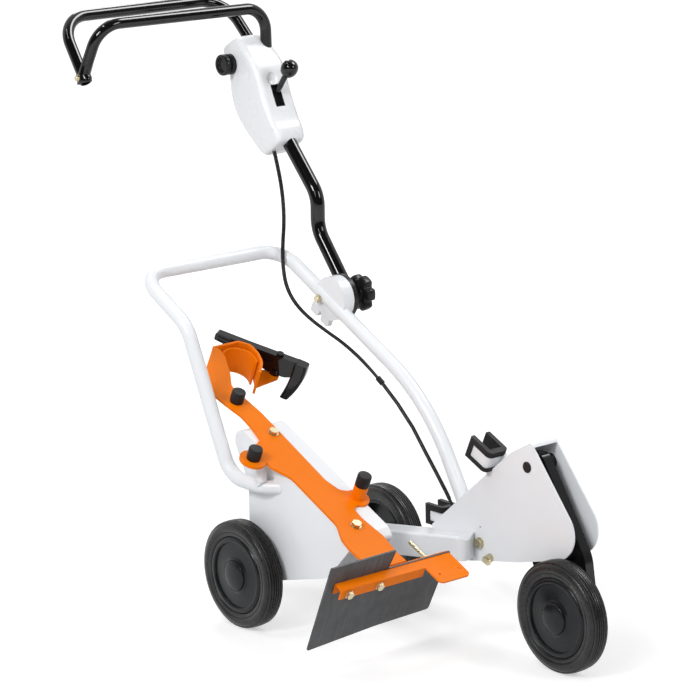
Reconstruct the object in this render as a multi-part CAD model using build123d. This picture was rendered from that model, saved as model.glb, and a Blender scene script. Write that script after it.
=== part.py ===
"""Three-wheeled guide cart for a hand-held cut-off saw.

A sheet-metal rear body, a box beam and a folded front housing are joined by one bent loop tube. The saw sits
on an inclined plate with rubber buffers and a quick clamp. The front wheel hangs on an arm that swings forward
to lower the saw. Axes: +X forward, +Y left, +Z up. Drawn about the middle of the rear axle, then moved so that
the origin lies at the bottom centre of the whole cart.
"""
from build123d import *
import math
import os

# ---------------------------------------------------------------- driving dimensions, mm and degrees
WHEEL_R = 100.0
WHEEL_W = 40.0
RIM_R = 71.0
CAP_R = 28.0
CAP_DOME_R = 100.0
TRACK = 337.0
WHEELBASE = 568.0
AXLE_R = 8.0
FRONT_AXLE_R = 6.0
RUNNING = 0.05
SHEET = 3.0

BODY_CLEARANCE = 8.5
BODY_RIGHT_Y = -TRACK / 2 + WHEEL_W / 2 + BODY_CLEARANCE
BODY_LEFT_Y = -45.0
INCLINE_DEG = 25.0
INCLINE_Z = 351.5

PLATE_T = 5.0
BUFFER_R = 13.0
BUFFER_H = 24.0
RISER_H = 27.0
HOOK_DEPTH = 50.0
HOOK_WALL = 5.0
JAW_T = 4.0

FLAP_S = 394.0
FLAP_T = 3.0
BAR_W = 20.0
BAR_T = 3.0
BAR_DROP = 20.0
BAR_RIGHT_Y = -247.0
BAR_LEFT_Y = 13.0

BEAM_W = 46.0
BEAM_WALL = 3.0
BEAM_RIGHT_Y = 65.0
BEAM_DEG = 9.0
HOUSING_RIGHT_Y = 111.0
HOUSING_W = 60.0

PIVOT_X = 457.0
PIVOT_Z = 340.0
PIVOT_R = 10.0
ARM_W = 19.0
ARM_CLEARANCE = 13.0

LOOP_R = 13.5
LOOP_WALL = 2.0
LOOP_LEFT_Y = 139.5

HINGE_X = -103.0
HINGE_Z = 547.0
HINGE_R = 42.0
HINGE_PLATE_Y = 157.0
COLUMN_R = 14.0
COLUMN_WALL = 2.0
STUD_R = 5.0
KNOB_R = 30.0

BAR_R = 11.0
GRIP_WALL = 2.0
CONSOLE_RIGHT_Y = 142.0
CONSOLE_W = 76.0
CONSOLE_WALL = 3.0
CABLE_R = 2.1

# ---------------------------------------------------------------- derived places
HOUSING_LEFT_Y = HOUSING_RIGHT_Y + HOUSING_W
HOUSING_MID_Y = HOUSING_RIGHT_Y + HOUSING_W / 2
ARM_RIGHT_Y = HOUSING_RIGHT_Y + SHEET + ARM_CLEARANCE
BEAM_LEFT_Y = BEAM_RIGHT_Y + BEAM_W
FRONT_WHEEL_Y = (BEAM_RIGHT_Y + BEAM_LEFT_Y) / 2
AXLE_Z = WHEEL_R
SLOPE = math.radians(INCLINE_DEG)
COLUMN_Y = HINGE_PLATE_Y + 9.0 + COLUMN_R
CONSOLE_LEFT_Y = CONSOLE_RIGHT_Y + CONSOLE_W

INCLINE = Plane(origin=(0, 0, INCLINE_Z), x_dir=(math.cos(SLOPE), 0, -math.sin(SLOPE)),
                z_dir=(math.sin(SLOPE), 0, math.cos(SLOPE)))

parts = {}


# ---------------------------------------------------------------- shared forms
def side(y):
    """Drawing plane seen from the right of the cart: x forward, y up, at the given lateral place."""
    return Plane(origin=(0, y, 0), x_dir=(1, 0, 0), z_dir=(0, -1, 0))


def outline(points, radii):
    """Closed flat face with each corner rounded by its own radius."""
    return make_face(FilletPolyline(*points, radius=radii, close=True))


def side_slab(face, right_y, left_y):
    """Extrude a side view between two lateral places."""
    return extrude(side(right_y) * face, amount=-(left_y - right_y))


def incline_slab(face, low, high):
    """Extrude an outline drawn on the incline between two heights above it."""
    return extrude(INCLINE.offset(low) * face, amount=high - low)


def incline_xz(s, n):
    """Side-view coordinates of a point given along and above the incline."""
    return (s * math.cos(SLOPE) + n * math.sin(SLOPE), INCLINE_Z - s * math.sin(SLOPE) + n * math.cos(SLOPE))


def cross_rod(radius, x, z, right_y, left_y):
    """Round bar that lies across the cart."""
    return extrude(side(right_y) * Pos(x, z) * Circle(radius), amount=-(left_y - right_y))


def swept(points, radii, outer, inner=0.0):
    """Round tube or bar along straight runs joined by tangent arcs."""
    path = FilletPolyline(*points, radius=radii)
    section = Circle(outer) - Circle(inner) if inner else Circle(outer)
    return sweep(Plane(origin=path @ 0, z_dir=path % 0) * section, path=path)


def hex_bolt(across, head, shank_r, grip, nut=True):
    """Hexagon bolt along -Z from its head, with a washer and a nut at the far side of the grip."""
    hexagon = RegularPolygon(across / 2, 6, major_radius=False)
    body = extrude(Circle(across * 0.62), amount=1.5)
    body += extrude(Plane.XY.offset(1.5) * hexagon, amount=head)
    body += extrude(Plane.XY * Circle(shank_r), amount=-grip)
    if nut:
        body += extrude(Plane.XY.offset(-grip) * hexagon, amount=-head)
    return body


# ---------------------------------------------------------------- wheels
def tyre_profile():
    """Solid rubber ring: bulging shoulders and three shallow rings cut into the tread."""
    half = WHEEL_W / 2
    groove, depth = 1.6, 1.8
    wall = (WHEEL_R - RIM_R) / 29
    foot, shoulder, crown = RIM_R + 6 * wall, WHEEL_R - 13 * wall, WHEEL_R - 1.5 * wall
    points = [(RIM_R, -half + 4), (foot, -half + 1), (shoulder, -half), (crown, -half + 9)]
    radii = [0, 3 * wall, 6 * wall, 5 * wall]
    for centre in (-7, 0, 7):
        points += [(WHEEL_R, centre - groove), (WHEEL_R - depth, centre), (WHEEL_R, centre + groove)]
        radii += [0, 0, 0]
    points += [(crown, half - 9), (shoulder, half), (foot, half - 1), (RIM_R, half - 4)]
    radii += [5 * wall, 6 * wall, 3 * wall, 0]
    return outline(points, radii)


def rim_profile(bore_r):
    """Moulded rim: outer band, dished web on the outboard side and a long hub."""
    half = WHEEL_W / 2
    seat = RIM_R - 0.05
    points = [(bore_r, -half), (CAP_R + 1, -half), (CAP_R + 4, -half + 4), (RIM_R - 14, -half + 5),
              (RIM_R - 9, -half + 2), (seat, -half + 2), (seat, half - 4), (RIM_R - 5, half - 4), (RIM_R - 6, -half + 10),
              (RIM_R - 13, -half + 12), (20, -half + 9), (18, half + 1), (bore_r, half + 1)]
    radii = [0, 2, 2, 3, 2, 1, 1, 0, 3, 3, 3, 0, 0]
    return outline(points, radii)


def wheel(name, y, outboard, bore_r, x, z):
    """One wheel: rubber tyre, ribbed rim and a domed cap; outboard is -1 for right and +1 for left."""
    turn = Rot(0, 0, 0) if outboard < 0 else Rot(0, 0, 180)
    place = Pos(x, y, z) * turn
    rim = revolve(rim_profile(bore_r + RUNNING), Axis.Y)
    rib = Pos((18 + RIM_R - 6) / 2, 4, 0) * Box(RIM_R - 6 - 18 + 2, WHEEL_W - 22, 3)
    for k in range(8):
        rim += Rot(0, 45 * k, 0) * rib
    face_y = -WHEEL_W / 2
    dome = Pos(0, face_y - 7 + CAP_DOME_R, 0) * Sphere(CAP_DOME_R)
    cap = Pos(0, face_y - 4, 0) * Rot(90, 0, 0) * Cylinder(CAP_R, 8) & dome
    parts[name + "_tyre"] = place * revolve(tyre_profile(), Axis.Y)
    parts[name + "_rim"] = place * rim
    parts[name + "_hub_cap"] = place * cap


wheel("rear_right", -TRACK / 2, -1, AXLE_R, 0, AXLE_Z)
wheel("rear_left", TRACK / 2, 1, AXLE_R, 0, AXLE_Z)
wheel("front", FRONT_WHEEL_Y, -1, FRONT_AXLE_R, WHEELBASE, AXLE_Z)

parts["rear_axle"] = cross_rod(AXLE_R, 0, AXLE_Z, -TRACK / 2 - WHEEL_W / 2 + 1, TRACK / 2 + WHEEL_W / 2 - 1)


# ---------------------------------------------------------------- rear body, axle tube and beam
BODY_REAR_S = -52.0
BODY_FRONT_S = 292.0
BODY_NOSE = (277.0, 206.0)
BODY_REAR_X = -14.0


def rear_body():
    """Folded sheet channel: two side flanges under an inclined top, open below and behind."""
    radii = [20, 12, 8, 60, 14, 20, 30, 12]
    points = [incline_xz(BODY_REAR_S, -PLATE_T), incline_xz(BODY_FRONT_S, -PLATE_T), BODY_NOSE, (205, AXLE_Z + 32),
              (BODY_REAR_X - 4, AXLE_Z - 26), (BODY_REAR_X, 195), (BODY_REAR_X, 262), (-50, 330)]
    whole = side_slab(outline(points, radii), BODY_RIGHT_Y, BODY_LEFT_Y)
    drop = -PLATE_T - SHEET
    nose_x, nose_z = BODY_NOSE
    hollow = [incline_xz(BODY_REAR_S + 4, drop), incline_xz(BODY_FRONT_S - 2, drop), (nose_x - 4, nose_z - 3),
              (nose_x + 40, nose_z - 90), (nose_x, AXLE_Z - 60), (-120, AXLE_Z - 60), (-120, 320), (-60, 322)]
    inside = side_slab(outline(hollow, [18, 8, 0, 0, 0, 0, 0, 0]), BODY_RIGHT_Y + SHEET, BODY_LEFT_Y - SHEET)
    holes = cross_rod(AXLE_R, 0, AXLE_Z, BODY_RIGHT_Y - 1, BODY_LEFT_Y + 1)
    return whole - inside - holes


parts["rear_body"] = rear_body()


def axle_tube():
    """Welded round tube that ties the rear body to the beam around the axle."""
    spans = ((BODY_RIGHT_Y + SHEET, BODY_LEFT_Y - SHEET), (BODY_LEFT_Y, BEAM_RIGHT_Y))
    outer, inner = AXLE_R + 7, AXLE_R
    return [cross_rod(outer, 0, AXLE_Z, a, b) - cross_rod(inner, 0, AXLE_Z, a - 1, b + 1) for a, b in spans]


parts["axle_tubes"] = Compound(axle_tube())
spacer_spans = ((WHEEL_W / 2 - TRACK / 2 + 1.5, BODY_RIGHT_Y), (BEAM_LEFT_Y, TRACK / 2 - WHEEL_W / 2 - 1.5))
parts["axle_spacers"] = Compound([cross_rod(AXLE_R + 5, 0, AXLE_Z, a, b) - cross_rod(AXLE_R, 0, AXLE_Z, a - 1, b + 1)
                                  for a, b in spacer_spans])

BEAM_REAR_X = -26.0
BEAM_FRONT_X = 346.0
BEAM_NOSE_CUT = 28.0
BEAM_TOP_Z = 141.0


def beam():
    """Square tube that climbs forward from the axle to the housing, its nose closed and rounded."""
    rise = math.tan(math.radians(BEAM_DEG))
    low, high = BEAM_REAR_X * rise, BEAM_FRONT_X * rise
    points = [(BEAM_REAR_X, BEAM_TOP_Z - BEAM_W + low), (BEAM_FRONT_X, BEAM_TOP_Z - BEAM_W + high),
              (BEAM_FRONT_X, BEAM_TOP_Z + high), (BEAM_REAR_X, BEAM_TOP_Z + low)]
    solid = side_slab(outline(points, [4, 8, 28, 4]), BEAM_RIGHT_Y, BEAM_LEFT_Y)
    solid = fillet(solid.edges().filter_by(lambda e: abs(e.center().Y - BEAM_RIGHT_Y) < 0.01), 5)
    inner_x = BEAM_FRONT_X - BEAM_NOSE_CUT
    plan = outline([(BEAM_REAR_X - 9, BEAM_RIGHT_Y - 1), (BEAM_FRONT_X, BEAM_RIGHT_Y - 1), (inner_x, BEAM_LEFT_Y),
                    (BEAM_REAR_X - 9, BEAM_LEFT_Y)], [0, 16, 8, 0])
    solid &= extrude(plan, amount=400)
    core = [(BEAM_REAR_X - 5, BEAM_TOP_Z - BEAM_W + low + BEAM_WALL),
            (inner_x - 8, BEAM_TOP_Z - BEAM_W + high + BEAM_WALL - 5),
            (inner_x - 14, BEAM_TOP_Z + high - BEAM_WALL - 10), (BEAM_REAR_X - 5, BEAM_TOP_Z + low - BEAM_WALL - 1)]
    solid -= side_slab(outline(core, [0, 8, 14, 0]), BEAM_RIGHT_Y + BEAM_WALL, BEAM_LEFT_Y - BEAM_WALL)
    return solid - cross_rod(AXLE_R, 0, AXLE_Z, BEAM_RIGHT_Y - 1, BEAM_LEFT_Y + 1)


parts["beam"] = beam()

# ---------------------------------------------------------------- loop tube
LOOP_RIGHT_Y = BODY_RIGHT_Y - LOOP_R
LOOP_TOP_X = -258.0
LOOP_TOP_Z = 618.0
LOOP_PATH = [(96, LOOP_RIGHT_Y + 29, 270), (60, LOOP_RIGHT_Y, 270), (-50, LOOP_RIGHT_Y, 270),
             (-126, LOOP_RIGHT_Y - 31, 543),
             (LOOP_TOP_X, LOOP_RIGHT_Y - 34, LOOP_TOP_Z), (LOOP_TOP_X, LOOP_LEFT_Y, LOOP_TOP_Z),
             (161, LOOP_LEFT_Y, 401), (268, LOOP_LEFT_Y, 216)]
LOOP_BENDS = [30, 50, 60, 50, 50, 390]
loop_envelope = swept(LOOP_PATH, LOOP_BENDS, LOOP_R)
loop_end_cut = Pos(100, BODY_RIGHT_Y + 30, 270) * Box(120, 60, 60)
parts["loop_tube"] = swept(LOOP_PATH, LOOP_BENDS, LOOP_R, LOOP_R - LOOP_WALL) - loop_end_cut

# ---------------------------------------------------------------- front housing
HOUSING_OUTLINE = [(205, 114), (203, 180), (351, 305), (414, 357), (466, 386), (611, 209), (440, 162)]
HOUSING_RADII = [8, 8, 60, 30, 6, 50, 80]


housing_face = outline(HOUSING_OUTLINE, HOUSING_RADII)
housing_envelope = side_slab(housing_face, HOUSING_RIGHT_Y, HOUSING_LEFT_Y)


def front_housing():
    """One sheet folded over the top: two side plates and a narrow spine, open to the front and below."""
    whole = housing_envelope
    inner_y = (HOUSING_RIGHT_Y + SHEET, HOUSING_LEFT_Y - SHEET)
    inside = side_slab(offset(housing_face, amount=-SHEET), *inner_y)
    mouth = Polyline((464, 378), (700, 378), (700, 60), (209, 60), (209, 150), (440, 210), close=True)
    inside += side_slab(make_face(mouth), *inner_y)
    holes = cross_rod(PIVOT_R, PIVOT_X, PIVOT_Z, HOUSING_RIGHT_Y - 1, HOUSING_LEFT_Y + 1)
    holes += cross_rod(2, 334, 204, HOUSING_RIGHT_Y - 1, HOUSING_RIGHT_Y + SHEET + 1)
    return whole - inside - holes - loop_envelope


parts["front_housing"] = front_housing()
parts["pivot_pin"] = cross_rod(PIVOT_R, PIVOT_X, PIVOT_Z, HOUSING_RIGHT_Y - 1.5, HOUSING_LEFT_Y + 1.5)


# ---------------------------------------------------------------- front arm
def front_arm():
    """Channel pressed from one sheet: two cheeks and a front wall, with a bush round the pivot and the axle."""
    points = [(PIVOT_X - 21, PIVOT_Z + 24), (PIVOT_X + 20, PIVOT_Z + 24), (WHEELBASE + 16, AXLE_Z + 100),
              (WHEELBASE + 29, AXLE_Z + 12), (WHEELBASE + 22, AXLE_Z - 24), (WHEELBASE - 23, AXLE_Z - 24),
              (WHEELBASE - 106, AXLE_Z + 42), (PIVOT_X - 19, PIVOT_Z - 150)]
    face = outline(points, [18, 18, 60, 40, 20, 20, 16, 40])
    left = ARM_RIGHT_Y + ARM_W
    whole = side_slab(face, ARM_RIGHT_Y, left)
    inner_y = (ARM_RIGHT_Y + SHEET, left - SHEET)
    inside = side_slab(offset(face, amount=-SHEET), *inner_y)
    mouth = Polyline((PIVOT_X - 60, PIVOT_Z + 60), (PIVOT_X - 12, PIVOT_Z + 30), (PIVOT_X - 6, PIVOT_Z - 60),
                     (WHEELBASE - 60, AXLE_Z + 60), (WHEELBASE - 30, AXLE_Z - 60), (PIVOT_X - 60, AXLE_Z - 20),
                     close=True)
    inside += side_slab(make_face(mouth), *inner_y)
    arm = whole - inside
    arm += cross_rod(PIVOT_R + 5, PIVOT_X, PIVOT_Z, ARM_RIGHT_Y, left)
    arm += cross_rod(FRONT_AXLE_R + 6, WHEELBASE, AXLE_Z, ARM_RIGHT_Y, left)
    arm -= cross_rod(PIVOT_R + RUNNING, PIVOT_X, PIVOT_Z, ARM_RIGHT_Y - 1, left + 1)
    return arm - cross_rod(FRONT_AXLE_R, WHEELBASE, AXLE_Z, ARM_RIGHT_Y - 1, left + 1)


parts["front_arm"] = front_arm()
parts["front_axle"] = cross_rod(FRONT_AXLE_R, WHEELBASE, AXLE_Z, FRONT_WHEEL_Y - WHEEL_W / 2 + 1,
                                ARM_RIGHT_Y + ARM_W + 2)
parts["front_axle"] += cross_rod(FRONT_AXLE_R + 4, WHEELBASE, AXLE_Z, ARM_RIGHT_Y + ARM_W, ARM_RIGHT_Y + ARM_W + 7)
front_spacer = cross_rod(FRONT_AXLE_R + 5, WHEELBASE, AXLE_Z, FRONT_WHEEL_Y + WHEEL_W / 2 + 1.5, ARM_RIGHT_Y)
front_spacer -= cross_rod(FRONT_AXLE_R, WHEELBASE, AXLE_Z, FRONT_WHEEL_Y, ARM_RIGHT_Y + 1)
parts["front_axle_spacer"] = front_spacer
bush_spans = ((HOUSING_RIGHT_Y + SHEET, ARM_RIGHT_Y - 0.3), (ARM_RIGHT_Y + ARM_W + 0.3, HOUSING_LEFT_Y - SHEET))
parts["pivot_bushes"] = Compound([cross_rod(PIVOT_R + 5, PIVOT_X, PIVOT_Z, a, b)
                                  - cross_rod(PIVOT_R, PIVOT_X, PIVOT_Z, a - 1, b + 1) for a, b in bush_spans])

# ---------------------------------------------------------------- saw plate with its clamp hook
STRIP_T = 5.0
PLATE_FRONT_S = FLAP_S - STRIP_T
PLATE_POINTS = [(PLATE_FRONT_S, -158), (325, -161), (300, -158), (262, -141), (122, -140), (84, -160), (24, -150),
                (10, -128), (-28, -122), (-62, -121), (-95, -128), (-136, -134), (-209, -96), (-263, -42),
                (-247, -36), (-227, -40), (-178, -62), (-144, -83), (-104, -81), (-55, -77), (150, -82), (183, -74),
                (200, -40), (226, -50), (234, -82), (262, -84), (319, -77), (363, -82), (PLATE_FRONT_S, -80)]
PLATE_RADII = [0, 15, 20, 30, 50, 20, 6, 12, 20, 30, 30, 40, 10, 3, 0, 20, 60, 14, 20, 30, 30, 14, 0, 0, 12, 20, 30,
               30, 0]
BUFFER_2 = (55, -177)
BUFFER_1 = (-100, -104)
BUFFER_3 = (212, -54)
HOOK_PATH = [(-259, -44), (-260.5, 17), (-244, 32.5), (-219, 32), (-190, 22), (-164, -3)]
HOOK_BENDS = [10, 12, 40, 60]
JAW_CENTRE = (-219.5, -8.5)
JAW_R = 35.0
JAW_TOP_N = -6.0
JAW_BOTTOM_N = -60.0
JAW_SWEEP = (55.0, 137.0, 218.0)
JAW_BOLT_N = -15.0
JAW_BOLT_END = 52.0
LEVER_REAR = (-312.0, 5.0)
LEVER_FRONT = (-164.0, 99.0)
LEVER_PIVOT_AT = 130.0
LEVER_HALF = 8.5
LEVER_PIN_R = 4.0
LUG_N = -46.0
PLATE_BOLTS = [(3, -93), (278, -109)]


lever_run = Vector(*LEVER_FRONT) - Vector(*LEVER_REAR)
LEVER_WAY = lever_run.normalized()
LEVER_PIVOT = Vector(*LEVER_REAR) + LEVER_WAY * LEVER_PIVOT_AT
LEVER_TURN = math.degrees(math.atan2(LEVER_WAY.Y, LEVER_WAY.X))
LEVER_FLAT = INCLINE * Location((LEVER_PIVOT.X, LEVER_PIVOT.Y, 0), (0, 0, LEVER_TURN))


def jaw_way(reach):
    """Plane square to the jaw's sliding direction, at the given distance from the jaw's centre."""
    angle = math.radians(JAW_SWEEP[1])
    way = INCLINE.x_dir * math.cos(angle) + INCLINE.y_dir * math.sin(angle)
    centre = INCLINE.from_local_coords(Vector(JAW_CENTRE[0], JAW_CENTRE[1], JAW_BOLT_N))
    return Plane(origin=centre + way * reach, z_dir=way)


def saw_plate():
    """Cut and bent steel plate: two lobes for buffers, and a hook whose rim is folded down round the clamp."""
    face = outline(PLATE_POINTS, PLATE_RADII)
    face += Pos(*BUFFER_2) * Circle(25)
    face += Pos(*BUFFER_3) * Circle(22)
    face -= [Pos(*p) * Circle(5) for p in PLATE_BOLTS]
    plate = incline_slab(face, -PLATE_T, 0)
    rim = trace(FilletPolyline(*HOOK_PATH, radius=HOOK_BENDS), line_width=HOOK_WALL)
    plate += incline_slab(rim, -HOOK_DEPTH, 0)
    lug = outline([(-222, 34), (-176, 9), (-186, 72), (-203, 88), (-216, 74)], [0, 0, 14, 12, 14])
    lug -= Pos(LEVER_PIVOT.X, LEVER_PIVOT.Y) * Circle(LEVER_PIN_R)
    plate += incline_slab(lug, LUG_N - 4, LUG_N)
    return plate - extrude(jaw_way(40) * Circle(4.5), amount=25)


parts["saw_plate"] = saw_plate()
parts["buffer_riser"] = incline_slab(Pos(*BUFFER_3) * Circle(BUFFER_R), 0, RISER_H)
for number, (spot, base) in enumerate(((BUFFER_1, 0), (BUFFER_2, 0), (BUFFER_3, RISER_H)), start=1):
    buffer = incline_slab(Pos(*spot) * Circle(BUFFER_R), base, base + BUFFER_H)
    parts[f"buffer_{number}"] = chamfer(buffer.edges().sort_by(Axis(INCLINE.origin, INCLINE.z_dir))[-1], 2)


def clamp_jaw():
    """Half shell of bent steel that closes round the saw's tube inside the hook."""
    start, middle, end = [math.radians(a) for a in JAW_SWEEP]
    outer = [Vector(*JAW_CENTRE) + Vector(math.cos(a), math.sin(a)) * JAW_R for a in (start, middle, end)]
    inner = [Vector(*JAW_CENTRE) + Vector(math.cos(a), math.sin(a)) * (JAW_R - JAW_T) for a in (start, middle, end)]
    edges = [ThreePointArc(*outer), Line(outer[2], inner[2]), ThreePointArc(*reversed(inner)), Line(inner[0], outer[0])]
    return incline_slab(make_face(Curve() + edges), JAW_BOTTOM_N, JAW_TOP_N)


parts["clamp_jaw"] = clamp_jaw()
bolt_start = math.sqrt(JAW_R ** 2 - 16) - 0.3
parts["jaw_bolt"] = extrude(jaw_way(bolt_start) * Circle(4), amount=JAW_BOLT_END - bolt_start)
parts["jaw_bolt"] -= incline_slab(Pos(*JAW_CENTRE) * Circle(JAW_R), JAW_BOTTOM_N, JAW_TOP_N)


def lever_side(face, half, at=0.0):
    """Extrude a face seen along the lever, with length along it and height above the incline."""
    plane = Plane(LEVER_FLAT) * Location((0, at, 0), (90, 0, 0))
    return extrude(Plane(plane) * face, amount=half, both=True)


def clamp_lever():
    """Moulded lever: a ribbed arm that deepens towards a grip turned down at its front end."""
    profile = [(-130, -24), (-130, -9), (-60, -6), (40, 0), (44, -30), (20, -42), (-20, -42), (-60, -30)]
    body = lever_side(outline(profile, [3, 3, 60, 4, 6, 20, 30, 60]), LEVER_HALF)
    flat = Plane(LEVER_FLAT)
    grip_top = flat.offset(-1) * Pos(45, 0) * RectangleRounded(27, 22, 6)
    grip_middle = flat.offset(-34) * Pos(45, -3) * RectangleRounded(25, 24, 6)
    grip_end = flat.offset(-74) * Pos(35, -13) * RectangleRounded(16, 28, 5)
    body += loft([grip_top, grip_middle, grip_end])
    for centre, length in ((-92, 62), (-30, 46)):
        for level in (-18, -11):
            pocket = Pos(centre, level + 0.02 * centre) * SlotOverall(length, 4.4)
            body -= lever_side(pocket, 1.6, -LEVER_HALF)
            body -= lever_side(pocket, 1.6, LEVER_HALF)
    hole = extrude(Plane(LEVER_FLAT).offset(LUG_N) * Circle(LEVER_PIN_R + RUNNING), amount=60)
    boss = extrude(Plane(LEVER_FLAT).offset(LUG_N + 0.3) * Circle(11), amount=12)
    return body + boss - hole


parts["clamp_lever"] = clamp_lever()
parts["lever_pin"] = extrude(Plane(LEVER_FLAT).offset(LUG_N - 4) * Circle(LEVER_PIN_R), amount=-LUG_N + 3)
parts["lever_pin"] += extrude(Plane(LEVER_FLAT).offset(-1) * Circle(7), amount=2.5)
parts["lever_pin"] += extrude(Plane(LEVER_FLAT).offset(LUG_N - 7) * Circle(7), amount=3)

parts["plate_bolts"] = Compound([INCLINE * Pos(x, y, 0) * hex_bolt(16, 6, 5, PLATE_T + SHEET) for x, y in PLATE_BOLTS])
parts["rear_body"] -= [INCLINE * Pos(x, y, -20) * Cylinder(5, 40) for x, y in PLATE_BOLTS]

# ---------------------------------------------------------------- post under the lobe
POST_X = 46.0
LOOP_RUN_Z = LOOP_PATH[1][2]
post = Pos(POST_X, LOOP_RIGHT_Y - 3, LOOP_RUN_Z + 40) * Cylinder(10, 80)
post -= incline_slab(Rectangle(900, 900), -PLATE_T, 120)
parts["lobe_post"] = post - loop_envelope

# ---------------------------------------------------------------- splash flap and its bar
FLAP_RISE = 38.0
FLAP_DROP = 147.0
FLAP_RIGHT_Y = BAR_RIGHT_Y - 16.0
FLAP_PLANE = Plane(origin=INCLINE.from_local_coords(Vector(FLAP_S, 0, 0)), x_dir=(0, 1, 0), z_dir=-INCLINE.x_dir)
FLAP_BOLTS = [-228.0, -160.0]
STAY_Y = -27.0
STAY_N = -12.5
BOLT_N = -12.0
LUG_RIGHT_Y = -58.0
LUG_REACH = 44.0
LUG_FRONT_S = FLAP_S + FLAP_T + BAR_W + LUG_REACH
LUG_HOLES = [(LUG_FRONT_S - 21, -43), (LUG_FRONT_S - 21, 2)]


def flap_face():
    """Rubber sheet: high on its right half, cut down behind the bar, with a slightly curved lower edge."""
    points = [(FLAP_RIGHT_Y - 4, -FLAP_RISE), (-122, -FLAP_RISE - 3), (-128, -1.5), (BAR_LEFT_Y + 3, -1.5),
              (BAR_LEFT_Y - 3, FLAP_DROP - 18), (-110, FLAP_DROP - 14), (FLAP_RIGHT_Y + 1, FLAP_DROP)]
    return outline(points, [2, 3, 3, 3, 6, 300, 3])


def across_flap(face, start, end):
    """Extrude a face seen along the incline, with y across and depth downwards, between two places along it."""
    return extrude(FLAP_PLANE.offset(FLAP_S - start) * face, amount=start - end)


def flap_holes():
    """Bolt holes through everything that holds the flap."""
    return [Pos(y, -BOLT_N) * Circle(4) for y in FLAP_BOLTS] + [Pos(STAY_Y, -STAY_N) * Circle(4)]


parts["rubber_flap"] = across_flap(flap_face() - flap_holes(), FLAP_S, FLAP_S + FLAP_T)
strip_face = Pos((BAR_RIGHT_Y + BAR_LEFT_Y) / 2, 12.5) * Rectangle(BAR_LEFT_Y - BAR_RIGHT_Y, BAR_DROP)
parts["flap_backing_strip"] = across_flap(strip_face - flap_holes(), PLATE_FRONT_S, FLAP_S)


def flap_bar():
    """Folded channel in front of the flap, with a drilled lug that carries on forward at its left end."""
    rear = FLAP_S + FLAP_T
    length = BAR_LEFT_Y - BAR_RIGHT_Y
    middle = (BAR_LEFT_Y + BAR_RIGHT_Y) / 2
    top = Pos(rear + BAR_W / 2, middle) * Rectangle(BAR_W, length)
    lug = [(rear + 2, LUG_RIGHT_Y), (LUG_FRONT_S, LUG_RIGHT_Y), (LUG_FRONT_S, BAR_LEFT_Y), (rear + 2, BAR_LEFT_Y)]
    top += outline(lug, [0, 10, 10, 0])
    top -= [Pos(*p) * Circle(2.5) for p in LUG_HOLES]
    bar = incline_slab(top, -BAR_T, 0)
    rear_wall = Pos(middle, BAR_DROP / 2) * Rectangle(length, BAR_DROP) - flap_holes()
    bar += across_flap(rear_wall, rear, rear + BAR_T)
    front_length = LUG_RIGHT_Y - BAR_RIGHT_Y
    front_wall = Pos(BAR_RIGHT_Y + front_length / 2, BAR_DROP / 2) * Rectangle(front_length, BAR_DROP)
    front_wall -= flap_holes()
    return bar + across_flap(front_wall, rear + BAR_W - BAR_T, rear + BAR_W)


parts["flap_bar"] = flap_bar()
flap_grip = STRIP_T + FLAP_T + BAR_W
flap_bolt = Rot(180, 0, 0) * hex_bolt(13, 5, 4, flap_grip)
parts["flap_bolts"] = Compound([FLAP_PLANE * Pos(y, -BOLT_N, -FLAP_T - BAR_W) * flap_bolt for y in FLAP_BOLTS])

# ---------------------------------------------------------------- long bolt at the left end of the bar
STAY_LENGTH = 62.0
stay_grip = STRIP_T + FLAP_T + BAR_T
stay = hex_bolt(13, 5, 4, stay_grip) + Pos(0, 0, -STAY_LENGTH / 2) * Cylinder(4, STAY_LENGTH)
parts["stay_bolt"] = FLAP_PLANE * Pos(STAY_Y, -STAY_N, -FLAP_T - BAR_T) * Rot(180, 0, 0) * stay

# ---------------------------------------------------------------- handle hinge
TAB_SPOTS = [(-150, 520), (-122, 504)]


def hinge_socket():
    """Cast half of the hinge: a toothed disc that wraps the loop tube, with two ears for its clamp bolt."""
    disc = cross_rod(HINGE_R, HINGE_X, HINGE_Z, LOOP_LEFT_Y - 6.5, HINGE_PLATE_Y)
    for x, z in TAB_SPOTS:
        ear = Pos(x, z) * Rot(0, 0, -28) * RectangleRounded(24, 22, 5)
        disc += side_slab(ear, LOOP_LEFT_Y - 5, LOOP_LEFT_Y + 5)
    disc -= loop_envelope
    return disc - cross_rod(STUD_R, HINGE_X, HINGE_Z, LOOP_LEFT_Y, HINGE_PLATE_Y + 1)


parts["hinge_socket"] = hinge_socket()
stud_end = COLUMN_Y + COLUMN_R + 26
parts["hinge_stud"] = cross_rod(STUD_R, HINGE_X, HINGE_Z, LOOP_LEFT_Y + LOOP_R, stud_end) - loop_envelope
disc_face = Circle(HINGE_R + 1) - Circle(STUD_R + RUNNING)
parts["hinge_disc"] = side_slab(Pos(HINGE_X, HINGE_Z) * disc_face, HINGE_PLATE_Y + 0.3, COLUMN_Y - COLUMN_R)

COLUMN_TOP = (-290.0, 818.0)
COLUMN_PATH = [(HINGE_X - 5, COLUMN_Y, HINGE_Z + 6), (-201, COLUMN_Y, 655), (-197, COLUMN_Y, 748),
               (COLUMN_TOP[0], COLUMN_Y, COLUMN_TOP[1])]
COLUMN_BENDS = [80, 80]


def handle_column():
    """Bent tube with a cross boss welded to its foot."""
    column = swept(COLUMN_PATH, COLUMN_BENDS, COLUMN_R, COLUMN_R - COLUMN_WALL)
    near, far = COLUMN_Y - COLUMN_R, COLUMN_Y + COLUMN_R
    column += cross_rod(COLUMN_R + 2, HINGE_X, HINGE_Z, near, far)
    return column - cross_rod(STUD_R + RUNNING, HINGE_X, HINGE_Z, near - 1, far + 1)


parts["handle_column"] = handle_column()


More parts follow.
